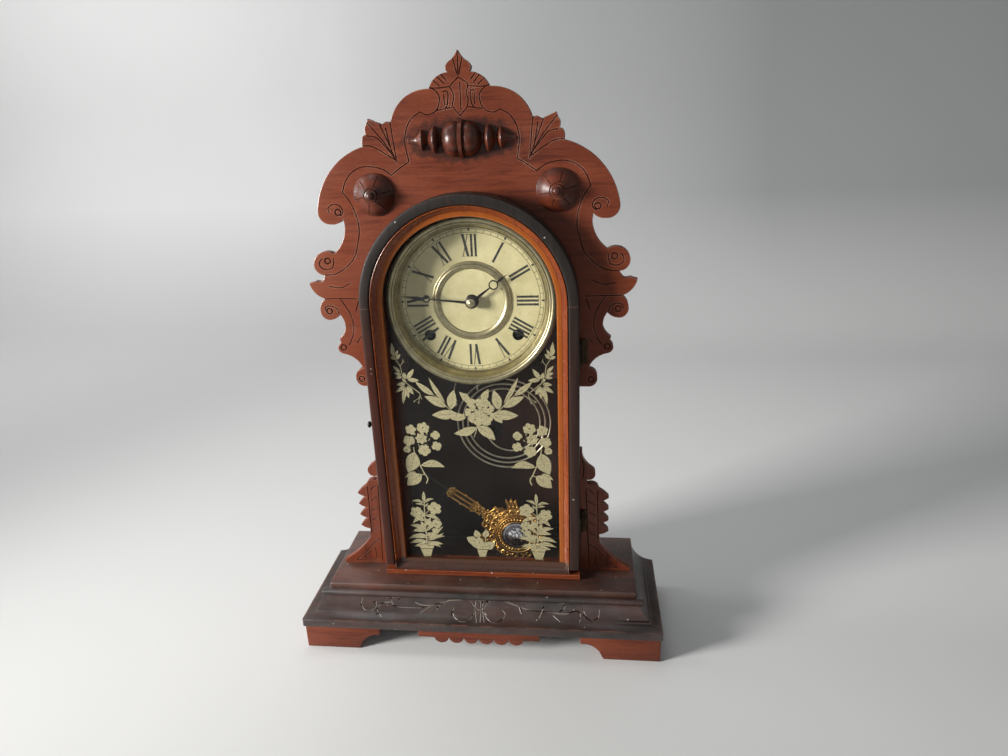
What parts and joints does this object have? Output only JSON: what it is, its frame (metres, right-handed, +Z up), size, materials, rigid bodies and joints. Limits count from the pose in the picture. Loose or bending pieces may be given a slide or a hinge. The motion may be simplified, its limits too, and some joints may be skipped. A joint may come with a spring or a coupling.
{
  "type": "shelf clock",
  "caption": "Carved walnut parlour shelf clock with arched glazed door, round Roman dial, spring movement, coil gong and a leaning unhooked pendulum on a footed cove-moulded base.",
  "frame": {"origin": "centre of the bounding box's bottom face, on the surface that the feet stand on", "axes": "+Z up, +Y from the door into the clock, +X to the viewer's right; the carved front board's face is at Y = 0"},
  "size_m": [0.36, 0.1244, 0.559],
  "materials": {
    "walnut": "glossy red-brown varnish",
    "ebonised": "ebonised satin with wear",
    "moulding_wood": "glossy orange-brown varnish",
    "case_wood": "dark matte",
    "glass": "clear, stencilled",
    "brass": "aged satin",
    "gilt": "embossed gilt",
    "dial_cream": "aged cream paint",
    "blued": "blued",
    "steel": "satin",
    "iron": "dark",
    "jewel": "foiled glass"
  },
  "bodies": {
    "case": {"plinth_board": "ebonised", "base_cove": "ebonised", "base_back_rail": "case_wood", "base_bead": "ebonised", "base_top_board": "ebonised", "base_apron": "walnut", "foot_front_left": "walnut", "foot_front_right": "walnut", "foot_back_left": "walnut", "foot_back_right": "walnut", "crest_board": "walnut", "crest_spindle": "ebonised", "rosette_left": "ebonised", "rosette_right": "ebonised", "front_stile_left": "walnut", "front_stile_right": "walnut", "lower_bracket_left": "walnut", "lower_bracket_right": "walnut", "case_side_left": "walnut", "case_side_right": "walnut", "case_top": "walnut", "back_board": "case_wood", "dial_batten_left": "case_wood", "dial_batten_right": "case_wood", "hinge_upper_case_leaf": "brass", "hinge_lower_case_leaf": "brass", "dial_pan": "dial_cream", "dial_bezel": "brass", "dial_centre_ring": "brass", "movement_front_plate": "brass", "movement_back_plate": "brass", "mainspring_strike": "steel", "mainspring_time": "steel", "gong_coil": "steel", "gong_block": "iron"},
    "door": {"door_stile_left": "ebonised", "door_stile_right": "ebonised", "door_arch": "ebonised", "door_rail": "ebonised", "door_moulding": "moulding_wood", "door_glass": "glass", "hinge_upper_door_leaf": "brass", "hinge_lower_door_leaf": "brass", "door_knob": "iron"},
    "minute_work": {"minute_hand": "blued", "centre_arbor": "steel"},
    "hour_work": {"hour_hand": "blued", "hour_wheel": "brass"},
    "minute_wheel": {"minute_wheel": "brass"},
    "time_great_wheel": {"great_wheel_time": "brass"},
    "strike_great_wheel": {"great_wheel_strike": "brass"},
    "time_winder": {"winding_arbor_time": "steel"},
    "strike_winder": {"winding_arbor_strike": "steel"},
    "escape_wheel": {"escape_wheel": "brass"},
    "verge": {"verge": "steel"},
    "leader": {"pendulum_leader": "steel"},
    "hammer": {"strike_hammer": "steel"},
    "pendulum": {"pendulum_rod": "gilt", "pendulum_bob": "gilt", "bob_jewel": "jewel"}
  },
  "joints": [
    {"name": "door_hinge", "type": "hinge", "parent": "case", "child": "door", "pos_m": [0.1022, -0.002, 0.21], "axis": [0, 0, 1], "range_deg": [0, 95]},
    {"name": "minute_turn", "type": "hinge", "parent": "case", "child": "minute_work", "pos_m": [0, 0.01, 0.345], "axis": [0, 1, 0], "continuous": true},
    {"name": "hour_turn", "type": "hinge", "parent": "case", "child": "hour_work", "pos_m": [0, 0.01, 0.345], "axis": [0, 1, 0], "continuous": true},
    {"name": "minute_wheel_turn", "type": "hinge", "parent": "case", "child": "minute_wheel", "pos_m": [-0.01239, 0.017, 0.33365], "axis": [0, 1, 0], "continuous": true},
    {"name": "time_train_turn", "type": "hinge", "parent": "case", "child": "time_great_wheel", "pos_m": [0.0423, 0.025, 0.312], "axis": [0, 1, 0], "continuous": true},
    {"name": "strike_train_turn", "type": "hinge", "parent": "case", "child": "strike_great_wheel", "pos_m": [-0.0423, 0.025, 0.312], "axis": [0, 1, 0], "continuous": true},
    {"name": "time_winding", "type": "hinge", "parent": "case", "child": "time_winder", "pos_m": [0.0423, 0.02, 0.312], "axis": [0, 1, 0], "continuous": true},
    {"name": "strike_winding", "type": "hinge", "parent": "case", "child": "strike_winder", "pos_m": [-0.0423, 0.02, 0.312], "axis": [0, 1, 0], "continuous": true},
    {"name": "escape_turn", "type": "hinge", "parent": "case", "child": "escape_wheel", "pos_m": [0, 0.0178, 0.368], "axis": [0, 1, 0], "continuous": true},
    {"name": "leader_swing", "type": "hinge", "parent": "case", "child": "leader", "pos_m": [0, 0.0136, 0.399], "axis": [0, 1, 0], "range_deg": [-4, 4]},
    {"name": "verge_rock", "type": "hinge", "parent": "case", "child": "verge", "pos_m": [0, 0.017, 0.386], "axis": [0, 1, 0], "range_deg": [-6.5, 6.5]},
    {"name": "hammer_lift", "type": "hinge", "parent": "case", "child": "hammer", "pos_m": [-0.014, 0.03, 0.29], "axis": [0, 1, 0], "range_deg": [0, 14]},
    {"name": "pendulum_hang", "type": "hinge", "parent": "case", "child": "pendulum", "pos_m": [0.03656, 0.016, 0.13581], "axis": [0, 1, 0], "range_deg": [0, 54.5]}
  ],
  "couplings": [
    {"joint": "hour_turn", "follows": "minute_turn", "ratio": 0.083333},
    {"joint": "minute_wheel_turn", "follows": "minute_turn", "ratio": -0.33333},
    {"joint": "time_train_turn", "follows": "minute_turn", "ratio": 0.083333},
    {"joint": "verge_rock", "follows": "leader_swing", "ratio": 1.5909}
  ]
}
